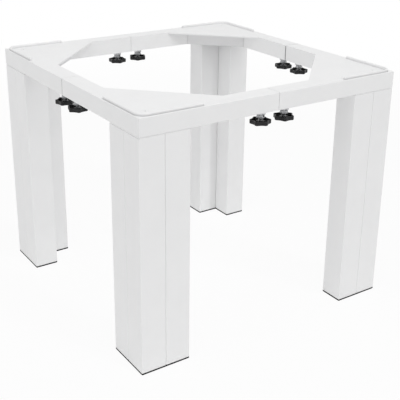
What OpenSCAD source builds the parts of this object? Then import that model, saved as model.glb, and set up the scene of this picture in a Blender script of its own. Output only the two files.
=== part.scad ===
// Adjustable stand for a washing machine.
// Four corner units stand on L-shaped legs of three square tubes each. Their arms meet at the
// middle of every side and slide on inner bars, so that the frame grows in width and in depth.
// Two knob screws under every side clamp the bars. Millimetres, +Z up, origin at the middle of
// the footprint on the floor, +Y from the front to the back and +X to the right.

/* [Stand] */
// Width of the stand along X, closed
stand_w = 600; // [560:5:680]
// Depth of the stand along Y, closed
stand_d = 600; // [560:5:680]
// Height of the steelwork, from the foot pads to the top of the arms
steel_h = 500; // [420:5:620]

/* [Frame arms] */
// Width of an arm seen from above
arm_w = 38; // [34:0.5:46]
// Height of an arm
arm_h = 35; // [30:0.5:46]
// Wall of an arm
arm_wall = 1.5; // [1.2:0.1:2.5]
// Radius of the arm's two outer edges
arm_edge_r = 1.8; // [1:0.1:2.6]
// Gap between two arms that meet, with the stand closed
seam_gap = 0.8; // [0.4:0.1:2]
// The same gap on the right side, which the photographed stand leaves wider
right_seam_gap = 2.2; // [0.4:0.1:4]
// Side of the small notch that the mitre leaves down a corner's edge
mitre_notch = 0.7; // [0.3:0.1:1.2]

/* [Inner bars] */
// Length of an inner bar
bar_len = 360; // [300:5:420]
// Wall of an inner bar
bar_wall = 1.5; // [1:0.1:3]
// Gap between an inner bar and the arm round it
bar_gap = 0.3; // [0.2:0.05:0.5]

/* [Corner plate and brace] */
// Outer corner to the crossing of the plate's inner edge with an outer face
plate_leg = 235; // [200:1:260]
// Thickness of the corner plate
plate_t = 3; // [2:0.5:5]
// Outer corner to the crossing of the brace's inner face with an outer face
brace_leg = 178; // [160:1:190]
// Thickness of the brace
brace_t = 4; // [3:0.5:8]
// Open weld gap at each end of the brace
brace_gap = 0.6; // [0.3:0.1:0.9]

/* [Lip] */
// Length of the raised lip along each outer face
lip_len = 134; // [90:1:160]
// Thickness of the lip seen from above
lip_t = 5; // [4.5:0.5:7]
// Height of the lip over the arms
lip_h = 5; // [3:0.5:9]
// Distance of the lip from the outer faces
lip_inset = 3; // [2:0.5:6]
// Radius of the lip's bend, on its outer side
lip_r = 20; // [12:1:26]
// Depth at which the lip is let into the arms
lip_seat = 0.9; // [0.5:0.1:1]
// Width of the open groove on each side of the lip
lip_groove = 0.8; // [0.6:0.1:1.8]
// Radius along the lip's top edges
lip_edge_r = 2; // [0.5:0.1:2.2]

/* [Legs] */
// Side of a leg's square tube
tube_w = 52.5; // [50:0.5:60]
// Wall of a leg's tube
tube_wall = 1.2; // [1:0.1:2.5]
// Radius of a tube's edges
tube_edge_r = 1.9; // [1.6:0.1:3]
// Thickness of the plate that closes a leg at its top
cap_t = 1.6; // [1.2:0.1:4]
// How far the closing plate stays back from the leg's faces
cap_inset = 1.2; // [0.5:0.1:3]
// Thickness of the foot pad
pad_t = 3.5; // [2:0.5:8]

/* [Leg bolt] */
// Diameter of the bolt that holds a leg
leg_bolt_d = 6; // [5:0.5:8]
// Diameter of its countersunk head
leg_bolt_head_d = 12; // [10.5:0.5:14]
// Width across the flats of the socket in its head
leg_bolt_socket = 4; // [3:0.5:5]
// Depth of the head under the tops of the arms
leg_bolt_sink = 0.2; // [0.1:0.1:0.5]
// Distance from the bolt to the inner walls of the arms
leg_bolt_room = 2.5; // [1:0.5:5]
// Width across the flats of the nut under the closing plate
leg_nut_af = 10; // [9.5:0.5:13]
// Height of that nut
leg_nut_h = 5; // [4:0.5:8]
// Length of bolt that shows past its nut
leg_bolt_tail = 2; // [1:0.5:6]

/* [Clamp screws] */
// Diameter of the clamp stud
stud_d = 8; // [6:0.5:9]
// Distance from a clamp stud to the seam between the arms
stud_offset = 28; // [25:0.5:60]
// Side of the square nut welded under an arm
clamp_nut_w = 14; // [13:0.5:20]
// Height of that nut
clamp_nut_h = 7.5; // [6:0.5:9]
// Width across the flats of the lock nut under the square nut
jam_nut_af = 13; // [12:0.5:15]
// Height of that nut over its flange
jam_nut_h = 4.5; // [3:0.5:5]
// Diameter of the flange under that nut
jam_flange_d = 17; // [16:0.5:20]
// Thickness of the flange
jam_flange_t = 1.5; // [1:0.1:2]
// Gap between the tip of a stud and the inner bar that it clamps
stud_tip_gap = 0.3; // [0.2:0.05:0.5]

/* [Knobs] */
// Diameter over the knob's lobes
knob_d = 41; // [38:1:46]
// Thickness of the knob
knob_t = 8; // [7:0.5:12]
// Depth of the hollow in its upper side
knob_hollow = 6; // [3:0.5:6]
// Drop from the underside of the arms to the top of the knob
knob_drop = 17.5; // [16.5:0.5:24]
// Radius of a lobe's tip
lobe_r = 4.5; // [3.5:0.1:5.5]
// Radius of the hollow between two lobes
scallop_r = 20; // [14:0.5:40]
// Wall round the knob's hollow
knob_wall = 2; // [1.2:0.1:2.8]
// Diameter of the hub
hub_d = 16; // [14:0.5:20]
// Depth of the hub and the ribs under the rim
hub_drop = 2.5; // [1:0.5:2.5]
// Thickness of the ribs from the hub to the wall
knob_rib = 1.6; // [1:0.1:3]
// Depth of hub below the end of the stud
hub_floor = 1.5; // [1:0.1:2]
// Number of lobes on a knob
lobes = 6; // [5:1:7]

/* [Fits] */
// Radial clearance of a screw in its nut, and of a stud in its knob
thread_fit = 0.05; // [0.02:0.01:0.09]
// Radial clearance of a screw in a plain hole
hole_room = 0.4; // [0.3:0.05:1]
// Gap between a turning face and the face beside it
face_gap = 0.3; // [0.2:0.05:0.5]

/* [Hidden] */
CORNERS = [["front", "left"], ["front", "right"], ["back", "left"], ["back", "right"]];
CORNER_PIECES = [
    "width_arm", "depth_arm", "corner_plate", "lip", "brace",
    "leg_post", "leg_wings", "leg_cap", "foot_pad", "fixings"];
SIDES = ["front", "right", "back", "left"];
CLAMPS = [
    ["front", "left"], ["front", "right"], ["back", "left"], ["back", "right"],
    ["left", "front"], ["left", "back"], ["right", "front"], ["right", "back"]];
$fn = 48;

// Overshoot of a cutter past the face that it opens
cut = 1;

// Heights over the floor
top_z = pad_t + steel_h;
arm_z = top_z - arm_h;
cap_z = arm_z - cap_t;
knob_z = arm_z - knob_drop - knob_t;
jam_z = arm_z - clamp_nut_h - face_gap - jam_nut_h - jam_flange_t;

// Sizes that follow from the fits
bar_w = arm_w - 2 * (arm_wall + bar_gap);
bar_h = arm_h - 2 * (arm_wall + bar_gap);
head_z = top_z - leg_bolt_sink;
countersink_h = leg_bolt_head_d / 2 + leg_bolt_sink + 2 * thread_fit + cut;
bolt_inset = arm_w - arm_wall - leg_bolt_d / 2 - leg_bolt_room;
stud_tip_z = arm_z + arm_wall + bar_gap - stud_tip_gap;
stud_foot_z = knob_z + hub_floor + face_gap;
lip_bend = lip_inset + lip_r;

// Place of the star's hollows, which touch the lobes on both sides
lobe_at = knob_d / 2 - lobe_r;
half_step = 180 / lobes;
scallop_at = lobe_at * cos(half_step) + sqrt((scallop_r + lobe_r) ^ 2 - (lobe_at * sin(half_step)) ^ 2);
scallop_place = scallop_at * [cos(half_step), sin(half_step)];
lobe_place = [lobe_at, 0];
touch_dir = (scallop_place - lobe_place) / norm(scallop_place - lobe_place);

// Angle at which each knob stands, read off the photograph, in the order of CLAMPS
KNOB_TURNS = [30, 0, 24, 2, 12, 42, 28, 4];

// Colours seen in the photograph
COATED = "whitesmoke";
PLATED = "silver";
MOULDED = "#1c1c1e";
RUBBER = "#2a2a2a";

// Names of the nodes of a corner, such as front_left_lip, and of a clamp, such as front_knob_left
function corner_node(corner, piece) = str(corner[0], "_", corner[1], "_", piece);
function clamp_node(clamp, piece) = str(clamp[0], "_", piece, "_", clamp[1]);

// Sign of a side: -1 for the front and the left, 1 for the back and the right
function side_sign(side) = side == "front" || side == "left" ? -1 : 1;

// True for the two sides that run along X
function is_width(side) = side == "front" || side == "back";

// Middle of a side, on the centreline of its arms
function side_middle(side) = is_width(side)
    ? [0, side_sign(side) * (stand_d - arm_w) / 2, 0]
    : [side_sign(side) * (stand_w - arm_w) / 2, 0, 0];

// Axis of a clamp screw, beside the middle of its side
function clamp_place(clamp) = side_middle(clamp[0]) + side_sign(clamp[1]) * stud_offset
    * (is_width(clamp[0]) ? [1, 0, 0] : [0, 1, 0]);

// Gap at the seam of a corner's depth arm
function depth_gap(corner) = corner[1] == "right" ? right_seam_gap : seam_gap;

// Centre of the clamp stud of an arm of this length, seen from the outer corner
function stud_place(length, gap) = [length + gap / 2 - stud_offset, arm_w / 2, 0];

// Places what is drawn from the outer corner inwards at one of the four corners
module at_corner(corner)
    mirror([corner[1] == "right" ? 1 : 0, 0, 0])
        mirror([0, corner[0] == "back" ? 1 : 0, 0])
            translate([-stand_w / 2, -stand_d / 2, 0])
                children();

// Swaps X and Y, which turns a piece of a width side into one of a depth side
module swapped()
    mirror([1, -1, 0])
        children();

// Rectangle with the given radius on its left corners alone
module half_rounded(w, h, r) {
    translate([r, 0])
        square([w - r, h]);
    translate([0, r])
        square([w, h - 2 * r]);
    for (y = [r, h - r])
        translate([r, y])
            circle(r);
}

// Rectangle with all four corners rounded
module rounded(w, h, r) {
    translate([r, 0])
        square([w - 2 * r, h]);
    translate([0, r])
        square([w, h - 2 * r]);
    for (x = [r, w - r])
        for (y = [r, h - r])
            translate([x, y])
                circle(r);
}

// Outline of the lip seen from above, widened on all sides
module lip_outline(wider) {
    near = lip_inset - wider;
    length = lip_len - lip_bend + wider;
    outer_r = lip_r + wider;
    translate([lip_bend, near])
        square([length, lip_t + 2 * wider]);
    translate([near, lip_bend])
        square([lip_t + 2 * wider, length]);
    translate([lip_bend, lip_bend])
        intersection() {
            difference() {
                circle(outer_r);
                circle(lip_r - lip_t - wider);
            }
            translate([-outer_r, -outer_r])
                square(outer_r);
        }
}

// Cross-section of the lip over its seat, from its outer side inwards
module lip_section()
    translate([0, top_z - lip_seat]) {
        square([lip_t, lip_seat + lip_h - lip_edge_r]);
        translate([lip_edge_r, 0])
            square([lip_t - 2 * lip_edge_r, lip_seat + lip_h]);
        for (x = [lip_edge_r, lip_t - lip_edge_r])
            translate([x, lip_seat + lip_h - lip_edge_r])
                circle(lip_edge_r);
    }

// Straight run of the lip along X
module lip_run()
    translate([lip_bend, lip_inset, 0])
        rotate([90, 0, 90])
            linear_extrude(lip_len - lip_bend)
                lip_section();

// L-shaped outline of a leg, drawn in by the given inset
module leg_outline(inset) {
    long = 2 * tube_w - 2 * inset;
    short = tube_w - 2 * inset;
    translate([inset, inset]) {
        rounded(long, short, tube_edge_r);
        rounded(short, long, tube_edge_r);
    }
}

// Hole of the leg bolt: a countersink in the top wall and a plain hole in the bottom wall
module leg_bolt_hole()
    translate([bolt_inset, bolt_inset, 0]) {
        translate([0, 0, arm_z - cut])
            cylinder(h = arm_wall + 2 * cut, d = leg_bolt_d + 2 * hole_room);
        translate([0, 0, top_z + cut - countersink_h])
            cylinder(h = countersink_h, r1 = 0, r2 = countersink_h);
    }

// Rectangular tube from the mitred corner to the seam, along X
module arm(length, gap)
    color(COATED)
        difference() {
            translate([0, 0, arm_z])
                rotate([90, 0, 90])
                    linear_extrude(length)
                        difference() {
                            half_rounded(arm_w, arm_h, arm_edge_r);
                            translate([arm_wall, arm_wall])
                                square([arm_w - 2 * arm_wall, arm_h - 2 * arm_wall]);
                        }
            translate([0, 0, arm_z - cut])
                linear_extrude(arm_h + 2 * cut) {
                    polygon([[-cut, -cut], [arm_w + cut, arm_w + cut], [-cut, arm_w + cut]]);
                    square(mitre_notch);
                }
            translate([0, 0, top_z - lip_seat])
                linear_extrude(lip_seat + cut)
                    lip_outline(lip_groove);
            leg_bolt_hole();
            translate(stud_place(length, gap) + [0, 0, arm_z - cut])
                cylinder(h = arm_wall + 2 * cut, d = stud_d + 2 * hole_room);
        }

// Arm along the front or the back
module width_arm(corner)
    at_corner(corner)
        arm((stand_w - seam_gap) / 2, seam_gap);

// Arm along the left or the right side
module depth_arm(corner)
    at_corner(corner)
        swapped()
            arm((stand_d - depth_gap(corner)) / 2, depth_gap(corner));

// Triangular sheet let in between the two arms, level with their tops
module corner_plate(corner)
    color(COATED)
        at_corner(corner)
            translate([0, 0, top_z - plate_t])
                linear_extrude(plate_t)
                    polygon([[arm_w, arm_w], [plate_leg - arm_w, arm_w], [arm_w, plate_leg - arm_w]]);

// Upright flat bar across the corner, under the plate
module brace(corner) {
    near = arm_w + brace_gap;
    far = brace_leg - near;
    back = far - brace_t * sqrt(2);
    color(COATED)
        at_corner(corner)
            translate([0, 0, arm_z])
                linear_extrude(arm_h - plate_t)
                    polygon([[far, near], [near, far], [near, back], [back, near]]);
}

// Raised lip that keeps the machine on the stand
module lip(corner)
    color(COATED)
        at_corner(corner) {
            lip_run();
            swapped()
                lip_run();
            translate([lip_bend, lip_bend, 0])
                rotate([0, 0, 180])
                    rotate_extrude(angle = 90)
                        translate([lip_r, 0])
                            mirror([1, 0])
                                lip_section();
        }

// One square tube of a leg
module leg_tube()
    translate([0, 0, pad_t])
        linear_extrude(cap_z - pad_t)
            difference() {
                rounded(tube_w, tube_w, tube_edge_r);
                translate([tube_wall, tube_wall])
                    rounded(tube_w - 2 * tube_wall, tube_w - 2 * tube_wall, tube_edge_r - tube_wall);
            }

// Tube under the corner itself
module leg_post(corner)
    color(COATED)
        at_corner(corner)
            leg_tube();

// The two tubes beside the post, one under each arm
module leg_wings(corner)
    color(COATED)
        at_corner(corner) {
            translate([tube_w, 0, 0])
                leg_tube();
            translate([0, tube_w, 0])
                leg_tube();
        }

// Plate that closes the three tubes and takes the leg bolt
module leg_cap(corner)
    color(COATED)
        at_corner(corner)
            difference() {
                translate([0, 0, cap_z])
                    linear_extrude(cap_t)
                        leg_outline(cap_inset);
                translate([bolt_inset, bolt_inset, cap_z - cut])
                    cylinder(h = cap_t + 2 * cut, d = leg_bolt_d + 2 * hole_room);
            }

// Pad under the three tubes
module foot_pad(corner)
    color(RUBBER)
        at_corner(corner)
            linear_extrude(pad_t)
                leg_outline(0);

// Countersunk bolt from the top of the arms down to the nut under the closing plate
module leg_bolt() {
    head_h = (leg_bolt_head_d - leg_bolt_d) / 2;
    foot_z = cap_z - leg_nut_h - leg_bolt_tail;
    difference() {
        union() {
            translate([0, 0, head_z - head_h])
                cylinder(h = head_h, d1 = leg_bolt_d, d2 = leg_bolt_head_d);
            translate([0, 0, foot_z])
                cylinder(h = head_z - head_h - foot_z, d = leg_bolt_d);
        }
        translate([0, 0, head_z - head_h / 2])
            cylinder(h = head_h, d = leg_bolt_socket / cos(30), $fn = 6);
    }
}

// Hexagon nut of that bolt
module leg_nut()
    difference() {
        translate([0, 0, cap_z - leg_nut_h])
            cylinder(h = leg_nut_h, d = leg_nut_af / cos(30), $fn = 6);
        translate([0, 0, cap_z - leg_nut_h - cut])
            cylinder(h = leg_nut_h + 2 * cut, d = leg_bolt_d + 2 * thread_fit);
    }

// Square nut welded under an arm for a clamp stud
module clamp_nut()
    translate([0, 0, arm_z - clamp_nut_h])
        difference() {
            translate([-clamp_nut_w / 2, -clamp_nut_w / 2, 0])
                cube([clamp_nut_w, clamp_nut_w, clamp_nut_h]);
            translate([0, 0, -cut])
                cylinder(h = clamp_nut_h + 2 * cut, d = stud_d + 2 * thread_fit);
        }

// Plated fixings of a corner: the leg bolt, its nut and two clamp nuts
module fixings(corner)
    color(PLATED)
        at_corner(corner) {
            translate([bolt_inset, bolt_inset, 0]) {
                leg_bolt();
                leg_nut();
            }
            translate(stud_place((stand_w - seam_gap) / 2, seam_gap))
                clamp_nut();
            swapped()
                translate(stud_place((stand_d - depth_gap(corner)) / 2, depth_gap(corner)))
                    clamp_nut();
        }

// Inner bar of a side, centred on its seam
module bar(side) {
    turn = is_width(side) ? [0, 0, 0] : [1, -1, 0];
    color(PLATED)
        translate(side_middle(side))
            mirror(turn)
                translate([-bar_len / 2, -bar_w / 2, arm_z + (arm_h - bar_h) / 2])
                    rotate([90, 0, 90])
                        linear_extrude(bar_len)
                            difference() {
                                square([bar_w, bar_h]);
                                translate([bar_wall, bar_wall])
                                    square([bar_w - 2 * bar_wall, bar_h - 2 * bar_wall]);
                            }
}

// Clamp stud with the flanged lock nut that stands under the square nut
module stud(clamp)
    color(PLATED)
        translate(clamp_place(clamp)) {
            translate([0, 0, stud_foot_z])
                cylinder(h = stud_tip_z - stud_foot_z, d = stud_d);
            translate([0, 0, jam_z])
                cylinder(h = jam_flange_t, d = jam_flange_d);
            translate([0, 0, jam_z])
                cylinder(h = jam_flange_t + jam_nut_h, d = jam_nut_af / cos(30), $fn = 6);
        }

// Star of the knob from true arcs: round lobes joined by hollows that touch them,
// drawn in by the given inset
module star(inset) {
    difference() {
        circle(norm(lobe_place + (lobe_r - inset) * touch_dir));
        for (i = [0 : lobes - 1])
            rotate(2 * half_step * i)
                translate(scallop_place)
                    circle(scallop_r + inset);
    }
    for (i = [0 : lobes - 1])
        rotate(2 * half_step * i)
            translate(lobe_place)
                circle(lobe_r - inset);
}

// Star knob, hollow on its upper side, with a sunk hub and ribs, turned by an angle
module knob(clamp, turn)
    color(MOULDED)
        translate(clamp_place(clamp) + [0, 0, knob_z])
            rotate(turn)
                difference() {
                    linear_extrude(knob_t)
                        star(0);
                    translate([0, 0, knob_t - knob_hollow])
                        linear_extrude(knob_hollow + cut)
                            difference() {
                                star(knob_wall);
                                circle(d = hub_d);
                                for (i = [0 : lobes - 1])
                                    rotate(2 * half_step * i)
                                        translate([0, -knob_rib / 2])
                                            square([knob_d / 2, knob_rib]);
                            }
                    translate([0, 0, knob_t - hub_drop])
                        linear_extrude(hub_drop + cut)
                            star(knob_wall);
                    translate([0, 0, hub_floor])
                        cylinder(h = knob_t, d = stud_d + 2 * thread_fit);
                }

for (corner = CORNERS) {
    width_arm(corner);
    depth_arm(corner);
    corner_plate(corner);
    lip(corner);
    brace(corner);
    leg_post(corner);
    leg_wings(corner);
    leg_cap(corner);
    foot_pad(corner);
    fixings(corner);
}
for (side = SIDES)
    bar(side);
for (clamp = CLAMPS)
    stud(clamp);
for (i = [0 : len(CLAMPS) - 1])
    knob(CLAMPS[i], KNOB_TURNS[i]);
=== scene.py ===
"""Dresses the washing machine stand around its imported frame, for Blender 4.5.

The steel tubes, plates and braces stay as the frame has them and get a powder coat. Screws, nuts,
knobs, lips, pads and inner bars are made here as numpy surfaces. Lengths are in metres, +Z is up
and the origin is the middle of the footprint on the floor.
"""

from __future__ import annotations

import logging
import math
from dataclasses import dataclass, field
from enum import Enum
from functools import partial

import bpy
import numpy as np
from mathutils import Matrix, Vector

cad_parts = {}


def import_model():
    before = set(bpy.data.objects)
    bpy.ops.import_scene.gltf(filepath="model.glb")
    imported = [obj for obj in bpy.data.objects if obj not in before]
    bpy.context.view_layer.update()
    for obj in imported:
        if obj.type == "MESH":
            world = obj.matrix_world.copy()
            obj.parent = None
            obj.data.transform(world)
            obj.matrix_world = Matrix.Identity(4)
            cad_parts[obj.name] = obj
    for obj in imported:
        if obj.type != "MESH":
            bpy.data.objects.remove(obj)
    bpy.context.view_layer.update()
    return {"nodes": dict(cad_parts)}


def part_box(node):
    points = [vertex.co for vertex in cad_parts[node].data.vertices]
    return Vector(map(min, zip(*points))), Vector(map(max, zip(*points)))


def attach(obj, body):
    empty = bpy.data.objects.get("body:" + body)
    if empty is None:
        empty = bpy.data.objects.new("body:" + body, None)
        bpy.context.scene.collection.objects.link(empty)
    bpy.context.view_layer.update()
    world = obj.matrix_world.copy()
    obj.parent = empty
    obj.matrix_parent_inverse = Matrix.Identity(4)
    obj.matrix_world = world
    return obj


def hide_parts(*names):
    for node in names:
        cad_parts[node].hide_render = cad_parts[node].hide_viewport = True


LOG = logging.getLogger("stand")
MM = 0.001
TAU = 2 * math.pi
WHITE = (1, 1, 1, 1)
Colour = tuple[float, float, float]

# Radius and height of a ring round Z, each as one number or one for each angle
Ring = tuple[float | np.ndarray, float | np.ndarray]


class Slot(Enum):
    """Names of the material slots."""

    STEEL = "white_powder_coat"
    ZINC = "zinc_plated"
    PLASTIC = "black_plastic"
    RUBBER = "rubber_pad"


class Side(Enum):
    """A side of the stand."""

    FRONT = ("front", 1, -1)
    BACK = ("back", 1, 1)
    LEFT = ("left", 0, -1)
    RIGHT = ("right", 0, 1)

    def __init__(self, word: str, across: int, sign: int) -> None:
        """Keeps what tells the side apart.

        Args:
            word: The side in the names of nodes.
            across: Index of the axis on which the side lies away from the middle.
            sign: -1 for the front and the left, 1 for the back and the right.
        """
        self.word, self.across, self.sign = word, across, sign


CORNERS = [(depth, width) for depth in (Side.FRONT, Side.BACK) for width in (Side.LEFT, Side.RIGHT)]

# Angle in degrees at which each knob stands, read off the photograph
KNOB_TURNS = {
    (Side.FRONT, Side.LEFT): 30,
    (Side.FRONT, Side.RIGHT): 0,
    (Side.BACK, Side.LEFT): 24,
    (Side.BACK, Side.RIGHT): 2,
    (Side.LEFT, Side.FRONT): 12,
    (Side.LEFT, Side.BACK): 42,
    (Side.RIGHT, Side.FRONT): 28,
    (Side.RIGHT, Side.BACK): 4,
}


# Surfaces


def grid_quads(rows: int, cols: int, closed: bool) -> np.ndarray:
    """Quads of a grid whose columns run round and join up.

    Args:
        rows: Number of rings of points.
        cols: Number of points in a ring.
        closed: Whether the last ring joins the first.

    Returns:
        Array of four point numbers for each quad.
    """
    row = np.arange(rows if closed else rows - 1)[:, None]
    col = np.arange(cols)[None, :]
    here, nxt = row * cols, (row + 1) % rows * cols
    turn = (col + 1) % cols
    corners = (here + col, here + turn, nxt + turn, nxt + col)
    return np.stack([np.broadcast_to(c, (len(row), cols)) for c in corners], -1).reshape(-1, 4)


@dataclass
class Shell:
    """A closed surface: points, and faces of three or four point numbers."""

    points: np.ndarray
    quads: np.ndarray
    tris: np.ndarray

    @classmethod
    def from_rings(
        cls, rings: np.ndarray, closed: bool = False, poles: tuple | None = None
    ) -> Shell:
        """Skins a stack of rings and closes it.

        Args:
            rings: Array of rows by columns by three; each row is a closed ring of points.
            closed: Whether the last ring joins the first, as round a bore.
            poles: The two points at which the ends close; the rings' middles where left out.

        Returns:
            The shell, with its faces turned outwards.
        """
        rows, cols = rings.shape[:2]
        points = rings.reshape(-1, 3)
        tris = np.zeros((0, 3), int)
        if not closed:
            ends = poles or (rings[0].mean(0), rings[-1].mean(0))
            points = np.vstack([points, ends])
            col = np.arange(cols)
            nxt = (col + 1) % cols
            last = (rows - 1) * cols
            first_cap = np.stack([nxt, col, np.full(cols, rows * cols)], -1)
            last_cap = np.stack([last + col, last + nxt, np.full(cols, rows * cols + 1)], -1)
            tris = np.vstack([first_cap, last_cap])
        return cls(points, grid_quads(rows, cols, closed), tris).outward()

    def volume(self) -> float:
        """Signed volume: a sixth of the sum of each triangle's corner product.

        Returns:
            The volume in cubic metres, below zero where the faces point inwards.
        """
        halves = [self.quads[:, [0, 1, 2]], self.quads[:, [0, 2, 3]], self.tris]
        a, b, c = (self.points[np.vstack(halves)[:, i]] for i in range(3))
        return float(np.einsum("ij,ij->i", a, np.cross(b, c)).sum() / 6)

    def outward(self) -> Shell:
        """The shell with its faces turned so that its volume counts as positive.

        Returns:
            This shell, or the same with every face turned round.
        """
        if self.volume() < 0:
            return Shell(self.points, self.quads[:, ::-1], self.tris[:, ::-1])
        return self

    def moved(self, matrix: Matrix) -> Shell:
        """The shell carried by a matrix, with its faces kept outwards."""
        m = np.array(matrix)
        return Shell(self.points @ m[:3, :3].T + m[:3, 3], self.quads, self.tris).outward()

    def plus(self, other: Shell) -> Shell:
        """This shell and another as one mesh of two closed surfaces.

        Args:
            other: The other shell.

        Returns:
            The mesh of both.
        """
        start = len(self.points)
        return Shell(
            np.vstack([self.points, other.points]),
            np.vstack([self.quads, other.quads + start]),
            np.vstack([self.tris, other.tris + start]),
        )

    def to_object(
        self, name: str, finish: bpy.types.Material, crease: float = 40.0
    ) -> bpy.types.Object:
        """Makes the Blender object, smooth except across creases.

        Args:
            name: Name of the object.
            finish: Its material.
            crease: Angle in degrees over which an edge stays sharp.

        Returns:
            The linked object, at the origin.
        """
        mesh = bpy.data.meshes.new(name)
        mesh.from_pydata(self.points.tolist(), [], self.quads.tolist() + self.tris.tolist())
        mesh.update()
        mesh.shade_smooth()
        mesh.set_sharp_from_angle(angle=math.radians(crease))
        mesh.materials.append(finish)
        made = bpy.data.objects.new(name, mesh)
        bpy.context.scene.collection.objects.link(made)
        return made


def lathe(rows: list[Ring], angles: np.ndarray, closed: bool = False) -> Shell:
    """Skins rings round Z: point = (radius cos angle, radius sin angle, height).

    Args:
        rows: The rings, each as its radius and its height.
        angles: One angle for each point of a ring.
        closed: Whether the last ring joins the first, as round a bore.

    Returns:
        The closed shell.
    """
    r, z = (np.array([np.broadcast_to(row[i], angles.shape) for row in rows]) for i in (0, 1))
    return Shell.from_rings(np.stack([r * np.cos(angles), r * np.sin(angles), z], -1), closed)


def around(count: int) -> np.ndarray:
    """Even angles round a full turn."""
    return np.linspace(0, TAU, count, endpoint=False)


def polygon_radius(angles: np.ndarray, sides: int, flats: float) -> np.ndarray:
    """Distance from the middle of a regular polygon to its edge.

    Half the width across the flats over the cosine of the angle from the nearest flat's middle.

    Args:
        angles: Angles round the polygon; a flat's middle is at angle 0.
        sides: Number of sides.
        flats: Width across the flats.

    Returns:
        One radius for each angle.
    """
    step = TAU / sides
    return flats / 2 / np.cos((angles + step / 2) % step - step / 2)


def quarter(count: int) -> np.ndarray:
    """Angles from 0 to a right angle."""
    return np.linspace(0, math.pi / 2, count)


def bend(count: int = 5) -> list[tuple[float, float]]:
    """A rounded edge of radius 1 from (1, 0) to (0, 1): 1 less the sine, 1 less the cosine."""
    return [(1 - math.sin(a), 1 - math.cos(a)) for a in quarter(count)]


# Finishes


@dataclass(frozen=True)
class Grain:
    """A noise: the size of its lumps in metres, and how much finer detail lies on them."""

    size: float
    detail: float = 2.0


class NodeGraph:
    """Nodes of one material or world, each made and linked in one call."""

    # Nearly all of a noise lies between these
    NOISE_ENDS = (0.3, 0.7)

    def __init__(
        self, owner: bpy.types.Material | bpy.types.World, output: str = "OutputMaterial"
    ) -> None:
        """Empties the owner's nodes and gives it an output.

        Args:
            owner: The material or world.
            output: Blender's type of the output, without its ShaderNode start.
        """
        self.owner = owner
        owner.use_nodes = True
        self.tree = owner.node_tree
        self.tree.nodes.clear()
        self.output = self.add(output)

    def add(self, kind: str, inputs: dict | None = None, **settings: object) -> bpy.types.Node:
        """Adds a node.

        Args:
            kind: Blender's type of the node, without its ShaderNode start.
            inputs: Values or output sockets for the node's inputs, by name or number.
            settings: Properties of the node.

        Returns:
            The node.
        """
        node = self.tree.nodes.new("ShaderNode" + kind)
        for key, value in settings.items():
            setattr(node, key, value)
        for key, value in (inputs or {}).items():
            if isinstance(value, bpy.types.NodeSocket):
                self.tree.links.new(value, node.inputs[key])
            else:
                node.inputs[key].default_value = value
        return node

    def finish(self, shader: bpy.types.Node) -> bpy.types.Material | bpy.types.World:
        """Links the shader to the output and returns the material or world."""
        self.tree.links.new(shader.outputs[0], self.output.inputs["Surface"])
        return self.owner

    def place(self) -> bpy.types.NodeSocket:
        """Object coordinates in metres."""
        return self.add("TexCoord").outputs["Object"]

    def noise(self, grain: Grain) -> bpy.types.NodeSocket:
        """Noise from 0 to 1 over the object's own place."""
        inputs = {"Vector": self.place(), "Scale": 1 / grain.size, "Detail": grain.detail}
        return self.add("TexNoise", inputs).outputs["Fac"]

    def calc(self, operation: str, first: object, second: object = 0.0) -> bpy.types.NodeSocket:
        """Result of a Math node for numbers or sockets."""
        return self.add("Math", {0: first, 1: second}, operation=operation).outputs[0]

    def ramp(
        self, value: bpy.types.NodeSocket, ends: tuple[float, float], low: float, high: float,
        kind: str = "LINEAR",
    ) -> bpy.types.NodeSocket:
        """Runs from low to high while a value runs from one end to the other.

        Args:
            value: The value that is followed.
            ends: Where the run starts and stops.
            low: Result up to the start.
            high: Result past the stop.
            kind: Blender's name of the run's shape.

        Returns:
            The result's socket.
        """
        inputs = {"Value": value, "From Min": ends[0], "From Max": ends[1]}
        inputs |= {"To Min": low, "To Max": high}
        return self.add("MapRange", inputs, interpolation_type=kind).outputs[0]

    def spread(self, grain: Grain, low: float, high: float) -> bpy.types.NodeSocket:
        """The middle of a noise, stretched from low to high."""
        return self.ramp(self.noise(grain), self.NOISE_ENDS, low, high)

    def mix(self, share: object, under: object, over: object) -> bpy.types.NodeSocket:
        """A colour of which a share from 0 to 1 is taken over by another."""
        # A Mix node's sockets go by number, because their names repeat for each kind of value
        return self.add("Mix", {0: share, 6: under, 7: over}, data_type="RGBA").outputs[2]

    def seen(self) -> bpy.types.NodeSocket:
        """Tells what is seen, also in a mirroring or clear surface, from what gives light.

        Returns:
            The socket: 1 where it is seen, 0 where it gives light.
        """
        path = self.add("LightPath").outputs
        either = self.calc("MAXIMUM", path["Is Camera Ray"], path["Is Glossy Ray"])
        return self.calc("MAXIMUM", either, path["Is Transmission Ray"])


@dataclass(frozen=True)
class Finish:
    """A surface whose colour, roughness and relief each follow a grain.

    The roughness strays from its middle by as much as swing says, below and above.
    """

    name: str
    light: Colour
    dark: Colour
    clouds: Grain
    roughness: float
    swing: tuple[float, float]
    patches: Grain
    relief: Grain
    depth: float
    metallic: float = 0.0
    gloss: float = 0.5

    def base(self, g: NodeGraph) -> bpy.types.NodeSocket:
        """Base colour: clouds from dark to light."""
        return g.mix(g.spread(self.clouds, 0, 1), (*self.dark, 1), (*self.light, 1))

    def build(self) -> bpy.types.Material:
        """Makes the material.

        Returns:
            The material.
        """
        g = NodeGraph(bpy.data.materials.new(self.name))
        below, above = self.swing
        rough = g.spread(self.patches, self.roughness - below, self.roughness + above)
        relief = g.add("Bump", {"Height": g.noise(self.relief), "Distance": self.depth})
        return g.finish(g.add("BsdfPrincipled", {
            "Base Color": self.base(g),
            "Metallic": self.metallic,
            "Roughness": rough,
            "Specular IOR Level": self.gloss,
            "Normal": relief.outputs[0],
        }))


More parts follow.
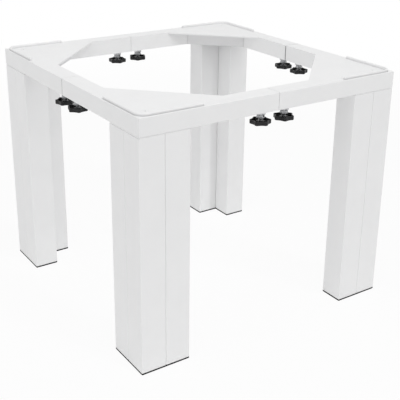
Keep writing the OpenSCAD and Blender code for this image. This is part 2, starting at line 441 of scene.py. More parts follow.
@dataclass(frozen=True)
class PowderCoat(Finish):
    """White powder coat: the fine orange peel of the baked powder over a barely uneven white."""

    name: str = "white_powder_coat"
    light: Colour = (0.885, 0.886, 0.888)
    dark: Colour = (0.868, 0.869, 0.872)
    clouds: Grain = Grain(45 * MM, 3.0)
    roughness: float = 0.42
    swing: tuple[float, float] = (0.05, 0.05)
    patches: Grain = Grain(6 * MM)
    relief: Grain = Grain(0.9 * MM)
    depth: float = 0.012 * MM


@dataclass(frozen=True)
class ShadedCoat(PowderCoat):
    """Powder coat on the lip, with painted shade: grey in the corner at its outer foot, where shade
    falls.
    """

    name: str = "powder_coat_at_seam"
    # Colour of the painted shade at the lip's foot
    seam: Colour = (0.66, 0.66, 0.665)
    foot: float = 0.0
    rise: float = 4 * MM
    outer_end: float = 0.3
    inner_share: float = 0.35

    def base(self, g: NodeGraph) -> bpy.types.NodeSocket:
        """Base colour: painted shade, grey at the foot's height, white at the rise above it.

        On the inner side, which the second UV coordinate tells apart, only a share of the painted
        shade shows.

        Args:
            g: Nodes of the material.

        Returns:
            The colour's socket.
        """
        height = g.add("SeparateXYZ", {0: g.place()}).outputs["Z"]
        across = g.add("SeparateXYZ", {0: g.add("TexCoord").outputs["UV"]}).outputs["Y"]
        inside = g.calc("GREATER_THAN", across, self.outer_end)
        share = g.ramp(inside, (0, 1), 1.0, self.inner_share)
        fall = g.ramp(height, (self.foot, self.foot + self.rise), 1.0, 0.0, "SMOOTHSTEP")
        return g.mix(g.calc("MULTIPLY", fall, share), super().base(g), (*self.seam, 1))


@dataclass(frozen=True)
class CutEndCoat(PowderCoat):
    """Powder coat on an arm of the left or right side, whose end at the gap is painted grey as
    shade.
    """

    name: str = "powder_coat_cut_end"
    # Colour of the painted shade in the gap at the arm's end
    cut: Colour = (0.42, 0.42, 0.425)
    end: float = 0.0
    top: float = 0.0
    margin: float = 2 * MM
    band: float = 0.35 * MM

    def base(self, g: NodeGraph) -> bpy.types.NodeSocket:
        """Base colour: painted shade, grey up to a band past the end's distance from the gap's
        middle, Y = 0.

        The arm's upper face stays white down to a margin.

        Args:
            g: Nodes of the material.

        Returns:
            The colour's socket.
        """
        where = g.add("SeparateXYZ", {0: g.place()}).outputs
        near = g.calc("LESS_THAN", g.calc("ABSOLUTE", where["Y"]), self.end + self.band)
        under = g.calc("LESS_THAN", where["Z"], self.top - self.margin)
        return g.mix(g.calc("MULTIPLY", near, under), super().base(g), (*self.cut, 1))


@dataclass(frozen=True)
class ZincPlate(Finish):
    """Zinc-plated steel: a bright metal with a fine grain and faint cloudy patches."""

    name: str = "zinc_plate"
    light: Colour = (0.66, 0.665, 0.675)
    dark: Colour = (0.5, 0.505, 0.515)
    clouds: Grain = Grain(5 * MM, 4.0)
    roughness: float = 0.3
    swing: tuple[float, float] = (0.08, 0.1)
    patches: Grain = Grain(0.5 * MM, 3.0)
    relief: Grain = Grain(0.5 * MM, 3.0)
    depth: float = 0.01 * MM
    metallic: float = 1.0


@dataclass(frozen=True)
class MouldedPlastic(Finish):
    """Black moulded plastic with the fine spark grain of its mould."""

    name: str = "black_plastic"
    light: Colour = (0.014, 0.014, 0.015)
    dark: Colour = (0.007, 0.007, 0.008)
    clouds: Grain = Grain(3 * MM)
    roughness: float = 0.4
    swing: tuple[float, float] = (0.06, 0.08)
    patches: Grain = Grain(4 * MM)
    relief: Grain = Grain(0.35 * MM)
    depth: float = 0.02 * MM
    gloss: float = 0.3


@dataclass(frozen=True)
class RubberSheet(Finish):
    """Black rubber sheet: matt, with the fine pores of a cut edge."""

    name: str = "rubber_sheet"
    light: Colour = (0.008, 0.008, 0.008)
    dark: Colour = (0.004, 0.004, 0.004)
    clouds: Grain = Grain(0.5 * MM, 3.0)
    roughness: float = 0.9
    swing: tuple[float, float] = (0.08, 0.08)
    patches: Grain = Grain(0.5 * MM, 3.0)
    relief: Grain = Grain(0.5 * MM, 3.0)
    depth: float = 0.06 * MM
    gloss: float = 0.15


# The stand's own pieces


def clamp_node(side: Side, kind: str, half: Side) -> str:
    """Name of the stud or knob under one half of a side, and of its body."""
    return f"{side.word}_{kind}_{half.word}"


def clamp_middle(side: Side, half: Side) -> Vector:
    """Middle of the stud under one half of a side."""
    low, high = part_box(clamp_node(side, "stud", half))
    return (low + high) / 2


@dataclass
class Corner:
    """A corner unit: where it stands, and how a shape drawn from its outer corner gets there."""

    depth: Side
    width: Side

    @property
    def word(self) -> str:
        """The start of its nodes' names, such as front_left."""
        return f"{self.depth.word}_{self.width.word}"

    @property
    def body(self) -> str:
        """The body that all its pieces ride on."""
        return f"{self.word}_corner"

    def node(self, piece: str) -> str:
        """Name of one of its nodes."""
        return f"{self.word}_{piece}"

    def place(self) -> Matrix:
        """Carries a shape drawn from the outer corner inwards to this corner, mirrored as needed.

        Returns:
            The matrix from the drawing's place to the frame's.
        """
        low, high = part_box(self.node("foot_pad"))
        x = low.x if self.width.sign < 0 else high.x
        y = low.y if self.depth.sign < 0 else high.y
        mirror = Matrix.Diagonal((-self.width.sign, -self.depth.sign, 1, 1))
        return Matrix.Translation((x, y, 0)) @ mirror


def dress(made: bpy.types.Object, body: str, node: str) -> None:
    """Lets a piece ride on its body and stand for its node, which is hidden.

    Args:
        made: The finished piece.
        body: Name of the body that carries it.
        node: Name of the node that it replaces.
    """
    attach(made, body)
    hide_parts(node)
    LOG.info("%s rides on %s: %d points", made.name, body, len(made.data.vertices))


@dataclass
class ThreadedRod:
    """A rod with a true helical thread and chamfered ends."""

    diameter: float
    pitch: float
    length: float
    cols: int = 32
    rows_per_turn: int = 8
    depth_share: float = 0.61
    flank: float = 1.6
    chamfer_share: float = 1.1

    def shell(self) -> Shell:
        """The rod, standing on Z = 0.

        The radius is the core's plus the thread's depth times a flattened wave of the height in
        turns less the angle in turns; near both ends a cone of 45 degrees cuts it off.

        Returns:
            The closed shell.
        """
        depth = self.depth_share * self.pitch
        rows = int(self.length / self.pitch * self.rows_per_turn) + 2
        z = np.linspace(0, self.length, rows)[:, None]
        angles = around(self.cols)
        phase = (z / self.pitch - angles / TAU) % 1.0
        wave = np.clip(self.flank * (0.5 - np.abs(2 * phase - 1)) + 0.5, 0, 1)
        radius = self.diameter / 2 - depth + depth * wave
        end = np.minimum(z, self.length - z) + self.diameter / 2 - depth * self.chamfer_share
        return lathe(list(zip(np.minimum(radius, end), z[:, 0])), angles)


@dataclass
class FlangedNut:
    """Hexagon nut with chamfered corners, a round flange and a bore."""

    flats: float = 13 * MM
    height: float = 6 * MM
    flange: float = 17 * MM
    flange_height: float = 1.5 * MM
    flange_edge: float = 0.35 * MM
    flange_fall: float = 0.2 * MM
    bore: float = 8.1 * MM
    bore_edge: float = 0.5 * MM
    bore_foot: float = 0.3 * MM
    face_share: float = 0.96
    chamfer: float = 30.0
    soft: float = 0.1 * MM
    soft_shares: tuple[float, float] = (0.5, 0.3)
    fillet: float = 0.5 * MM
    fillet_shares: tuple[float, float] = (0.7, 0.24)
    sides: int = 6
    steps: int = 14

    def shell(self) -> Shell:
        """The nut with its flange on Z = 0.

        A polygon's ring shrinks to a circle over the chamfer: the height drops by the chamfer's
        tangent times what the polygon reaches past that circle.

        Returns:
            The closed shell round its bore.
        """
        angles = around(self.sides * self.steps)
        hexagon = polygon_radius(angles, self.sides, self.flats)
        face, bore = self.flats / 2 * self.face_share, self.bore / 2
        top = self.height - (hexagon - face) * math.tan(math.radians(self.chamfer))
        soft_in, soft_up = (self.soft * share for share in self.soft_shares)
        fillet_out, fillet_up = (self.fillet * share for share in self.fillet_shares)
        rows = [
            (bore, self.bore_foot), (bore, self.height - self.bore_edge),
            (bore + self.bore_edge, self.height), (face, self.height),
            (hexagon - soft_in, top + soft_up), (hexagon, top - self.soft),
            (hexagon, self.flange_height + self.fillet),
            (hexagon + fillet_out, self.flange_height + fillet_up),
        ]
        if self.flange > self.flats:
            rim, edge = self.flange / 2, self.flange_edge
            high = self.flange_height - self.flange_fall
            rows += [(rim - edge * 2, high)]
            rows += [(rim - edge * u, high - edge * v) for u, v in bend()]
            rows += [(rim, edge), (rim - edge * 0.5, 0.0)]
        rows += [(bore + self.bore_edge, 0.0)]
        return lathe(rows, angles, closed=True)


@dataclass
class SquareNut:
    """Square weld nut with broken edges and a bore, hanging from Z = 0."""

    width: float = 14 * MM
    height: float = 7.5 * MM
    bore: float = 8.1 * MM
    bore_edge: float = 0.7 * MM
    edge: float = 0.6 * MM
    edge_shares: tuple[float, float] = (0.35, 0.2)
    weld: float = 0.2 * MM
    corner_share: float = 0.68
    foot_corner_share: float = 0.66
    steps: int = 16

    def shell(self) -> Shell:
        """The nut round its bore, from just under Z = 0 down.

        The outline is a square whose corners are trimmed by a circle just inside them.

        Returns:
            The closed shell.
        """
        angles = around(4 * self.steps)
        square = np.minimum(polygon_radius(angles, 4, self.width), self.width * self.corner_share)
        foot = polygon_radius(angles, 4, self.width - 2 * self.edge)
        inner = np.minimum(foot, self.width * self.foot_corner_share)
        bore, low = self.bore / 2, -self.height
        edge_out, edge_up = (self.edge * share for share in self.edge_shares)
        return lathe([
            (bore, -self.weld), (square, -self.weld), (square, low + self.edge),
            (inner + edge_out, low + edge_up), (inner, low),
            (bore + self.bore_edge, low), (bore, low + self.bore_edge),
        ], angles, closed=True)


@dataclass
class LegBolt:
    """Countersunk bolt with a hexagon socket, its head's top at Z = 0 and its shank below."""

    diameter: float = 6 * MM
    head: float = 12 * MM
    socket: float = 4 * MM
    socket_depth: float = 2.2 * MM
    socket_edge: float = 0.15 * MM
    floor_share: float = 0.97
    rim_edge: float = 0.25 * MM
    rim_drop: float = 0.2 * MM
    soft: float = 0.1 * MM
    neck: float = 2 * MM
    head_room: float = 4 * MM
    length: float = 40 * MM
    pitch: float = 1 * MM
    sides: int = 6
    steps: int = 8

    def shell(self) -> Shell:
        """The head with its neck, and the threaded shank.

        The head's rings run from the socket's floor up its six walls, over the rim and down the 90
        degree cone.

        Returns:
            One mesh of two closed surfaces.
        """
        angles = around(self.sides * self.steps)
        hexagon = polygon_radius(angles, self.sides, self.socket)
        rim, neck = self.head / 2, self.diameter / 2
        cone = rim - neck
        head = lathe([
            (hexagon * self.floor_share, -self.socket_depth),
            (hexagon, self.soft - self.socket_depth),
            (hexagon, -self.socket_edge), (hexagon + self.socket_edge, 0.0),
            (rim - self.rim_edge, 0.0), (rim, -self.rim_drop),
            (neck, -cone - self.soft), (neck, -cone - self.neck),
        ], angles)
        shank = ThreadedRod(
            self.diameter, self.pitch, self.length - self.head_room, cols=24, rows_per_turn=6
        )
        return head.plus(shank.shell().moved(Matrix.Translation((0, 0, -self.length))))


@dataclass
class ClampStud:
    """Threaded stud of a clamp screw with the flanged lock nut under the square nut."""

    depth: Side
    half: Side
    pitch: float = 1.25 * MM
    diameter: float = 8 * MM
    nut: FlangedNut = field(default_factory=FlangedNut)
    gap: float = 0.3 * MM

    def build(self, finish: bpy.types.Material) -> None:
        """Makes the stud where its node is.

        Args:
            finish: Material of the plated screw.
        """
        node = clamp_node(self.depth, "stud", self.half)
        low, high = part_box(node)
        middle = clamp_middle(self.depth, self.half)
        arm_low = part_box("front_left_width_arm")[0].z
        nut_foot = arm_low - SquareNut.height - self.gap - self.nut.height
        rod = ThreadedRod(self.diameter, self.pitch, high.z - low.z).shell()
        nut = self.nut.shell().moved(Matrix.Translation((0, 0, nut_foot - low.z)))
        both = rod.plus(nut).moved(Matrix.Translation((middle.x, middle.y, low.z)))
        dress(both.to_object(f"{node}_threaded", finish), node, node)


@dataclass
class StarKnob:
    """Six-lobed knob, hollow on its upper side, with a sunk hub, sunk ribs and rounded edges."""

    depth: Side
    half: Side
    across: float = 41 * MM
    thickness: float = 8 * MM
    lobe: float = 4.5 * MM
    scallop: float = 20 * MM
    wall: float = 2 * MM
    hollow: float = 6 * MM
    hub: float = 16 * MM
    hub_drop: float = 2.5 * MM
    hub_floor: float = 1.5 * MM
    bore: float = 8.1 * MM
    rib: float = 1.6 * MM
    bite: float = 0.5 * MM
    hub_bite: float = 0.6 * MM
    top_edge: float = 0.6 * MM
    foot_edge: float = 1.5 * MM
    hub_edge: float = 0.4 * MM
    fillet: float = 0.8 * MM
    hub_fillet: float = 0.5 * MM
    crown: float = 0.25 * MM
    crown_rings: tuple[float, ...] = (0.15, 0.4, 0.7, 0.9)
    floor_rings: tuple[float, ...] = (0.35, 0.7, 1.0)
    lobes: int = 6
    steps: int = 32
    foot_steps: int = 7
    rib_steps: int = 9
    crease: float = 50.0

    def outline(self, angles: np.ndarray, inset: float) -> np.ndarray:
        """Radius of the star, drawn in by an inset.

        In each half lobe the radius is where the ray leaves the lobe's circle or, past the point
        where the two circles touch, where it meets the hollow's circle.

        Args:
            angles: Angles round the knob, with a lobe at angle 0.
            inset: Distance by which the outline is drawn in.

        Returns:
            One radius for each angle.
        """
        half = math.pi / self.lobes
        a = np.abs((angles + half) % (2 * half) - half)
        at = self.across / 2 - self.lobe
        reach = self.scallop + self.lobe
        far = at * math.cos(half) + math.sqrt(reach**2 - (at * math.sin(half)) ** 2)
        hollow = np.array([far * math.cos(half), far * math.sin(half)])
        touch = np.array([at, 0]) + (hollow - [at, 0]) / reach * (self.lobe - inset)
        tip_r, dip_r = self.lobe - inset, self.scallop + inset
        tip = at * np.cos(a) + np.sqrt(np.maximum(tip_r**2 - (at * np.sin(a)) ** 2, 0))
        b = half - a
        dip = far * np.cos(b) - np.sqrt(np.maximum(dip_r**2 - (far * np.sin(b)) ** 2, 0))
        return np.where(a < math.atan2(touch[1], touch[0]), tip, dip)

    def body_shell(self) -> Shell:
        """The moulding without its ribs.

        Rings run from the middle of the underside out and round its edge, up the wall, over the
        rim, down into the hollow, over the hub and down its bore.

        Returns:
            The closed shell, with the underside at Z = 0.
        """
        angles = around(self.lobes * self.steps)
        star = partial(self.outline, angles)
        top, floor = self.thickness, self.thickness - self.hollow
        foot, edge, fillet = self.foot_edge, self.top_edge, self.fillet
        rows = [(star(foot) * s, self.crown * math.sqrt(1 - s)) for s in self.crown_rings]
        rows += [(star(foot * u), foot * v) for u, v in bend(self.foot_steps)]
        rows += [(star(edge * v), top - edge * u) for u, v in bend()]
        rows += [(star(self.wall - edge * u), top - edge * v) for u, v in bend()]
        rows += [(star(self.wall + fillet * v), floor + fillet * u) for u, v in bend()]
        hub, hub_top, bore = self.hub / 2, top - self.hub_drop, self.bore / 2
        near, far = star(self.wall + fillet), hub + self.hub_fillet
        rows += [(near * (1 - s) + far * s, floor) for s in self.floor_rings]
        rows += [
            (hub, floor + self.hub_fillet), (hub, hub_top - self.hub_edge),
            (hub - self.hub_edge, hub_top), (bore + self.hub_edge, hub_top),
            (bore, hub_top - self.hub_edge), (bore, self.hub_floor),
        ]
        return lathe(rows, angles)

    def rib_shell(self) -> Shell:
        """One rib along X from inside the hub to inside the wall of a lobe.

        The section is a slab with a half-round top, carried along a straight line.

        Returns:
            The closed shell.
        """
        floor = self.thickness - self.hollow - self.bite
        start, end = self.hub / 2 - self.hub_bite, self.across / 2 - self.wall + self.bite
        half, top = self.rib / 2, self.thickness - self.hub_drop
        turn = np.linspace(0, math.pi, self.rib_steps)
        y = np.concatenate([half * np.cos(turn), [-half, half]])
        z = np.concatenate([top - half + half * np.sin(turn), [floor, floor]])
        x = np.array([start, (start + end) / 2, end])
        rings = np.stack([np.broadcast_to(v, (3, len(y))) for v in (x[:, None], y, z)], -1)
        return Shell.from_rings(rings)

    def build(self, finish: bpy.types.Material) -> None:
        """Makes the knob where its node is, turned as the photograph shows it.

        Args:
            finish: Material of the moulding.
        """
        shell = self.body_shell()
        for i in range(self.lobes):
            turn = Matrix.Rotation(TAU * i / self.lobes, 4, "Z")
            shell = shell.plus(self.rib_shell().moved(turn))
        node = clamp_node(self.depth, "knob", self.half)
        middle = clamp_middle(self.depth, self.half)
        turn = Matrix.Rotation(math.radians(KNOB_TURNS[self.depth, self.half]), 4, "Z")
        shell = shell.moved(Matrix.Translation((middle.x, middle.y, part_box(node)[0].z)) @ turn)
        made = shell.to_object(f"{node}_moulded", finish, self.crease)
        dress(made, node, node)


@dataclass
class RaisedLip:
    """L-shaped lip with rounded top edges, swept round its bend at the outer corner."""

    length: float = 134 * MM
    inset: float = 3 * MM
    width: float = 5 * MM
    bend: float = 20 * MM
    edge: float = 2 * MM
    end_edge: float = 0.6 * MM
    stations: tuple[float, ...] = (100 * MM, 60 * MM)
    bend_steps: int = 19
    edge_steps: int = 6

    def section(self, drawn_in: float, low: float, high: float) -> np.ndarray:
        """Cross-section from the outer foot over the rounded top to the inner foot.

        Args:
            drawn_in: Distance by which sides and top are drawn in.
            low: Height of the underside.
            high: Height of the top.

        Returns:
            Array of points by two: distance from the outer side, and height.
        """
        r = self.edge - min(drawn_in, self.edge / 2)
        top, near, far = high - drawn_in, drawn_in, self.width - drawn_in
        rise = [(near + r * v, top - r * u) for u, v in bend(self.edge_steps)]
        fall = [(far - r * u, top - r * v) for u, v in bend(self.edge_steps)]
        return np.array([(near, low), *rise, *fall, (far, low)])

    def path(self) -> list[tuple[np.ndarray, np.ndarray]]:
        """Points of the outer side, each with its direction inwards.

        Straight along X, a quarter circle about the middle of the bend, and straight along Y.

        Returns:
            List of pairs of arrays: a point and its direction.
        """
        middle = self.inset + self.bend
        straight = [
            (np.array([x, self.inset]), np.array([0.0, 1.0]))
            for x in (self.length, self.length - self.end_edge, *self.stations)
        ]
        around_bend = []
        for a in quarter(self.bend_steps):
            out = np.array([-math.sin(a), -math.cos(a)])
            around_bend.append((middle + self.bend * out, -out))
        back = [(point[::-1], inwards[::-1]) for point, inwards in reversed(straight)]
        return straight + around_bend + back

    def shell(self, low: float, high: float) -> Shell:
        """The lip between two heights.

        Args:
            low: Height of its underside.
            high: Height of its top.

        Returns:
            The closed shell, drawn from the outer corner inwards.
        """
        steps = self.path()
        rings = []
        for i, (point, inwards) in enumerate(steps):
            drawn_in = self.end_edge if i in (0, len(steps) - 1) else 0.0
            section = self.section(drawn_in, low, high)
            rings.append(np.column_stack([point + section[:, :1] * inwards, section[:, 1]]))
        return Shell.from_rings(np.array(rings))

    def unwrap(self, made: bpy.types.Object) -> None:
        """Lays a UV map over the lip: U along it, V round its section from the outer foot.

        Args:
            made: The lip's object, with its points still in the order of the rings.
        """
        rows, cols = len(self.path()), len(self.section(0.0, 0.0, 1.0))
        mesh = made.data
        points = np.zeros(len(mesh.loops), int)
        mesh.loops.foreach_get("vertex_index", points)
        row, col = points // cols, points % cols
        starts = np.array([face.loop_start for face in mesh.polygons])
        counts = np.array([face.loop_total for face in mesh.polygons])
        last = np.maximum.reduceat(col, starts)
        joins = np.repeat((last == cols - 1) & (np.minimum.reduceat(col, starts) == 0), counts)
        v = np.where(joins & (col == 0), cols, col) / cols
        # The middles of the two ends come after all rings
        v = np.where(row >= rows, 0.5, v)
        uv = np.column_stack([np.minimum(row, rows - 1) / (rows - 1), v])
        mesh.uv_layers.new(name="along_and_round").data.foreach_set("uv", uv.ravel())


@dataclass
class CornerUnit:
    """Pieces of a corner that are made anew: lip, foot pad and fixings."""

    corner: Corner
    tube: float = 52.5 * MM
    tube_edge: float = 1.9 * MM
    pad_edge: float = 0.3 * MM
    pad_edge_steps: int = 4
    pad_corner_steps: int = 7
    head_height: float = 3 * MM
    bolt_inset: float = 31 * MM

    def pad_outline(self, inset: float) -> np.ndarray:
        """The pad's L seen from above with rounded corners, drawn in by an inset.

        Five corners turn one way and the inner one turns the other, so its arc runs backwards about
        a point outside the L.

        Args:
            inset: Distance by which the outline is drawn in.

        Returns:
            Array of points by two.
        """
        short, long, r = self.tube, 2 * self.tube, self.tube_edge
        corners = [
            ((r, r), 180, 1), ((long - r, r), 270, 1), ((long - r, short - r), 0, 1),
            ((short + r, short + r), 270, -1), ((short - r, long - r), 0, 1),
            ((r, long - r), 90, 1),
        ]
        pieces = []
        for (x, y), start, way in corners:
            a = math.radians(start) + way * quarter(self.pad_corner_steps)
            radius = r - inset if way > 0 else r + inset
            pieces.append(np.stack([x + radius * np.cos(a), y + radius * np.sin(a)], -1))
        return np.vstack(pieces)

    def pad_shell(self, high: float) -> Shell:
        """The pad from the floor to a height, with broken edges.

        Args:
            high: Height of its top.

        Returns:
            The closed shell.
        """
        edge = self.pad_edge
        rounded = bend(self.pad_edge_steps)
        rows = [(edge * u, edge * v) for u, v in rounded]
        rows += [(edge / 2 * v, high - edge / 2 * u) for u, v in rounded]
        rings = [np.insert(self.pad_outline(inset), 2, z, axis=1) for inset, z in rows]
        middle = self.tube / 2
        poles = (np.array([middle, middle, 0.0]), np.array([middle, middle, high]))
        return Shell.from_rings(np.array(rings), poles=poles)

    def build(self, finishes: Finishes) -> None:
        """Makes the lip, the pad and the fixings of the corner.

        Args:
            finishes: Materials of the stand.
        """
        corner, place = self.corner, self.corner.place()
        low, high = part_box(corner.node("lip"))
        lip = RaisedLip()
        shell = lip.shell(low.z, high.z).moved(place)
        made = shell.to_object(corner.node("raised_lip"), finishes.lip)
        lip.unwrap(made)
        dress(made, corner.body, corner.node("lip"))
        pad = self.pad_shell(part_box(corner.node("foot_pad"))[1].z).moved(place)
        made = pad.to_object(corner.node("rubber_foot"), finishes.rubber)
        dress(made, corner.body, corner.node("foot_pad"))
        made = self.fixings_shell().to_object(corner.node("screws_and_nuts"), finishes.zinc)
        self.coat_head(made, finishes.steel)
        dress(made, corner.body, corner.node("fixings"))

    def coat_head(self, made: bpy.types.Object, steel: bpy.types.Material) -> None:
        """Coats the bolt's head, which is in place when the stand is coated.

        A face belongs to the head where its middle lies less than the head's height under the top.

        Args:
            made: The object of the fixings.
            steel: The powder coat.
        """
        made.data.materials.append(steel)
        middles = np.zeros(3 * len(made.data.polygons))
        made.data.polygons.foreach_get("center", middles)
        height = middles[2::3]
        head = height > height.max() - self.head_height
        made.data.polygons.foreach_set("material_index", head.astype(int))

    def fixings_shell(self) -> Shell:
        """The leg bolt and its nut, and the two square nuts under the arms.

        Returns:
            One mesh of closed surfaces, in the frame's place.
        """
        corner, inset = self.corner, self.bolt_inset
        arm_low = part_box(corner.node("width_arm"))[0].z
        cap_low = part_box(corner.node("leg_cap"))[0].z
        low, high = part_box(corner.node("fixings"))
        x, y, _ = corner.place() @ Vector((inset, inset, 0))
        bolt = LegBolt(length=high.z - low.z)
        nut = FlangedNut(flats=10 * MM, height=5 * MM, flange=0, flange_height=0, bore=6.1 * MM)
        square = SquareNut().shell()
        parts = [(nut.shell(), (x, y, cap_low - nut.height))]
        for side, half in ((corner.depth, corner.width), (corner.width, corner.depth)):
            parts.append((square, (*clamp_middle(side, half).xy, arm_low)))
        shell = bolt.shell().moved(Matrix.Translation((x, y, high.z)))
        for part, there in parts:
            shell = shell.plus(part.moved(Matrix.Translation(there)))
        return shell


@dataclass
class InnerBar:
    """Square tube that slides inside two arms, with rounded edges."""

    side: Side
    wall: float = 1.5 * MM
    edge: float = 2.2 * MM
    edge_steps: int = 6
    bevel: float = 0.3 * MM

    def section(self, width: float, height: float, radius: float) -> np.ndarray:
        """Rounded rectangle about the middle: four quarter circles in a ring.

        Args:
            width: Width of the rectangle.
            height: Height of the rectangle.
            radius: Radius of its corners.

        Returns:
            Array of points by two.
        """
        arcs = []
        for i, signs in enumerate(((1, 1), (-1, 1), (-1, -1), (1, -1))):
            a = quarter(self.edge_steps) + i * TAU / 4
            middle = np.array(signs) * (width / 2 - radius, height / 2 - radius)
            arcs.append(middle + radius * np.stack([np.cos(a), np.sin(a)], -1))
        return np.vstack(arcs)

    def build(self, finish: bpy.types.Material) -> None:
        """Makes the bar where its node is.

        Args:
            finish: Material of the plated tube.
        """
        node = f"{self.side.word}_bar"
        low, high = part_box(node)
        size, middle = high - low, (low + high) / 2
        along_x = self.side.across == 1
        length, width = (size.x, size.y) if along_x else (size.y, size.x)
        outer, inner, small = (
            self.section(width - 2 * inset, size.z - 2 * inset, self.edge - inset)
            for inset in (0.0, self.wall, self.bevel)
        )
        half = length / 2
        steps = [
            (small, -half), (outer, self.bevel - half), (outer, half - self.bevel),
            (small, half), (inner, half), (inner, -half),
        ]
        rings = np.array([np.column_stack([np.full(len(ring), x), ring]) for ring, x in steps])
        shell = Shell.from_rings(rings, closed=True)
        turn = Matrix.Rotation(0 if along_x else TAU / 4, 4, "Z")
        shell = shell.moved(Matrix.Translation(middle) @ turn)
        dress(shell.to_object(f"{node}_tube", finish), node, node)


# Stage, light and camera


def direction(azimuth: float, elevation: float) -> Vector:
    """Unit vector from the stand: degrees from straight in front to the right, and upwards."""
    a, e = math.radians(azimuth), math.radians(elevation)
    return Vector((math.sin(a) * math.cos(e), -math.cos(a) * math.cos(e), math.sin(e)))


@dataclass
class Studio:
    """Pale floor, white surroundings and soft lamps.

    The key is a tall narrow strip, which is put together from even lights one above the other:
    edges that stand upright throw a crisp shadow and level ones a soft one.
    """

    floor_size: float = 60.0
    floor_white: float = 0.9
    fade_ends: tuple[float, float] = (1.0, 2.6)
    surround: float = 0.43
    floor_glow: float = 0.21
    white_share: float = 0.92
    top_place: tuple[float, float, float] = (-0.3, -0.4, 2.6)
    top_size: float = 2.4
    top_lamp: float = 23.5
    aim_height: float = 0.3
    key_azimuth: float = 21.0
    key_steps: tuple[float, ...] = (15.0, 25.0, 35.0, 45.0, 55.0)
    key_softness: float = 8.0
    key_lamp: float = 0.56
    low_from: tuple[float, float] = (-80.0, 15.0)
    low_softness: float = 40.0
    low_lamp: float = 0.36

    def build(self) -> None:
        """Makes the floor, the world and the lamps."""
        self.floor()
        self.world()
        away = Vector(self.top_place) - Vector((0, 0, self.aim_height))
        top = self.light("top_softbox", "AREA", self.top_lamp, away)
        top.location = self.top_place
        top.data.size = self.top_size
        for elevation in self.key_steps:
            away = direction(self.key_azimuth, elevation)
            part = self.light(
                f"front_strip_{elevation:.0f}", "SUN", self.key_lamp / len(self.key_steps), away
            )
            part.data.angle = math.radians(self.key_softness)
        low = self.light("low_fill", "SUN", self.low_lamp, direction(*self.low_from))
        low.data.angle = math.radians(self.low_softness)

    def floor(self) -> None:
        """A floor that keeps the shadow near the stand and fades to white further out.

        It glows a little upwards, as a lit table does, which only the stand's surfaces see.
        """
        half = self.floor_size / 2
        mesh = bpy.data.meshes.new("floor")
        corners = [(-half, -half, 0), (half, -half, 0), (half, half, 0), (-half, half, 0)]
        mesh.from_pydata(corners, [], [(0, 1, 2, 3)])
        floor = bpy.data.objects.new("floor", mesh)
        bpy.context.scene.collection.objects.link(floor)
        g = NodeGraph(bpy.data.materials.new("pale_floor"))
        away = g.add("VectorMath", {0: g.place()}, operation="LENGTH").outputs["Value"]
        fade = g.ramp(away, self.fade_ends, self.white_share, 1.0, "SMOOTHSTEP")
        seen = g.seen()
        strength = g.calc("MULTIPLY", g.calc("SUBTRACT", 1.0, seen), self.floor_glow)
        glow = g.add("Emission", {"Color": WHITE, "Strength": strength}).outputs[0]
        matt = g.add("BsdfDiffuse", {"Color": (*[self.floor_white] * 3, 1)}).outputs[0]
        lit = g.add("AddShader", {0: matt, 1: glow}).outputs[0]
        white = g.add("Emission", {"Color": WHITE, "Strength": 1.0}).outputs[0]
        shown = g.add("MixShader", {0: g.calc("MULTIPLY", seen, fade), 1: lit, 2: white})
        mesh.materials.append(g.finish(shown))

    def world(self) -> None:
        """White where it is seen or mirrored, and less bright where it lights the stand."""
        world = bpy.data.worlds.new("surround")
        bpy.context.scene.world = world
        g = NodeGraph(world, "OutputWorld")
        soft, bright = (
            g.add("Background", {"Color": WHITE, "Strength": strength}).outputs[0]
            for strength in (self.surround, 1.0)
        )
        g.finish(g.add("MixShader", {0: g.seen(), 1: soft, 2: bright}))

    def light(self, name: str, kind: str, power: float, away: Vector) -> bpy.types.Object:
        """Adds a light that shines on the stand.

        Args:
            name: Name of the light.
            kind: Blender's type of the light.
            power: Its watts, or as a sun its watts for each square metre.
            away: Vector from the stand towards the light.

        Returns:
            The light's object, at the origin.
        """
        made = bpy.data.objects.new(name, bpy.data.lights.new(name, kind))
        bpy.context.scene.collection.objects.link(made)
        made.data.energy = power
        made.rotation_euler = (-away).to_track_quat("-Z", "Y").to_euler()
        return made


@dataclass
class PhotoCamera:
    """Camera at the photograph's viewing angle.

    The photograph is corrected for perspective: its uprights run parallel, as with a lens raised by
    nearly a whole picture. A lens raised that far would lose the stand in every other view, so this
    one is raised only a little and the rest is the best fit of a plain camera.
    """

    azimuth: float = -34.024
    elevation: float = 20.228
    distance: float = 1.7951
    focal_px: float = 799.0
    picture_px: float = 400.0
    aside: float = 0.0224
    above: float = 0.0381
    roll: float = 0.703
    raised_px: float = 48.0
    sensor: float = 36.0

    def build(self) -> None:
        """Makes the camera and gives it to the scene."""
        data = bpy.data.cameras.new("photo_camera")
        camera = bpy.data.objects.new("photo_camera", data)
        bpy.context.scene.collection.objects.link(camera)
        data.sensor_width = self.sensor
        data.lens = self.sensor * self.focal_px / self.picture_px
        data.shift_y = -self.raised_px / self.picture_px
        a, r = math.radians(self.azimuth), math.radians(self.roll)
        back = direction(self.azimuth, self.elevation)
        right = Vector((math.cos(a), math.sin(a), 0))
        up = back.cross(right)
        middle = Vector((0, 0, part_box("front_left_width_arm")[1].z / 2))
        place = middle + back * self.distance
        tilted_right = right * math.cos(r) + up * math.sin(r)
        tilted_up = up * math.cos(r) - right * math.sin(r)
        place += tilted_right * self.aside + tilted_up * self.above
        turn = Matrix((tilted_right, tilted_up, back)).transposed().to_4x4()
        camera.matrix_world = Matrix.Translation(place) @ turn
        bpy.context.scene.camera = camera


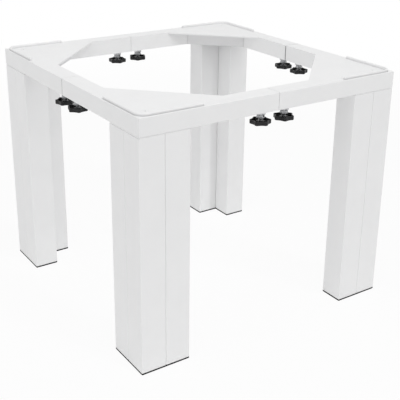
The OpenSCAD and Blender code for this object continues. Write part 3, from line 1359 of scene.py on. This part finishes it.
@dataclass(frozen=True)
class Finishes:
    """All materials of the stand."""

    steel: bpy.types.Material
    lip: bpy.types.Material
    thin: bpy.types.Material
    left_end: bpy.types.Material
    right_end: bpy.types.Material
    zinc: bpy.types.Material
    dull_zinc: bpy.types.Material
    plastic: bpy.types.Material
    rubber: bpy.types.Material

    @classmethod
    def made(cls) -> Finishes:
        """Builds every material.

        The braces take a greyer copy of the coat: painted shade for the shade under the corner
        plates.

        Returns:
            The set of finishes.
        """
        left, right = (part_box(f"front_{side}_depth_arm")[1] for side in ("left", "right"))
        # The braces' greyer coat is painted shade from the corner plates above them
        thin = PowderCoat("powder_coat_thin", (0.8, 0.8, 0.805), (0.78, 0.78, 0.785))
        # A darker copy of the zinc plate: painted shade for the studs and their nuts under the arms
        dull = ZincPlate("dull_zinc_plate", (0.42, 0.425, 0.435), (0.28, 0.285, 0.29))
        return cls(
            steel=PowderCoat().build(),
            # The lip's coat carries painted shade at its foot
            lip=ShadedCoat(foot=left.z).build(),
            thin=thin.build(),
            left_end=CutEndCoat("cut_end_left", end=-left.y, top=left.z).build(),
            right_end=CutEndCoat("cut_end_right", end=-right.y, top=right.z).build(),
            zinc=ZincPlate().build(),
            dull_zinc=dull.build(),
            plastic=MouldedPlastic().build(),
            rubber=RubberSheet().build(),
        )


def coat(nodes: dict[str, bpy.types.Object], finishes: Finishes) -> None:
    """Gives the steel nodes that stay their powder coat, by the ends of their names.

    Args:
        nodes: The frame's nodes by name.
        finishes: Materials of the stand.
    """
    # The braces and the arms' ends at the gaps take coats with painted shade
    kinds = {
        "brace": finishes.thin,
        "left_depth_arm": finishes.left_end,
        "right_depth_arm": finishes.right_end,
    }
    for name, node in nodes.items():
        if node.hide_render:
            continue
        fitting = (kind for end, kind in kinds.items() if name.endswith(end))
        node.data.materials.clear()
        node.data.materials.append(next(fitting, finishes.steel))
        LOG.info("%s keeps its shape and is coated", name)


def main() -> None:
    """Builds the dressed stand around the frame."""
    logging.basicConfig(level=logging.INFO, format="%(name)s: %(message)s")
    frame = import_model()
    bpy.context.scene.view_settings.view_transform = "Standard"
    PhotoCamera().build()
    Studio().build()
    finishes = Finishes.made()
    for depth, width in CORNERS:
        CornerUnit(Corner(depth, width)).build(finishes)
    for side in Side:
        InnerBar(side).build(finishes.zinc)
    for side, half in KNOB_TURNS:
        ClampStud(side, half).build(finishes.dull_zinc)
        StarKnob(side, half).build(finishes.plastic)
    coat(frame["nodes"], finishes)


if __name__ == "__main__":
    main()
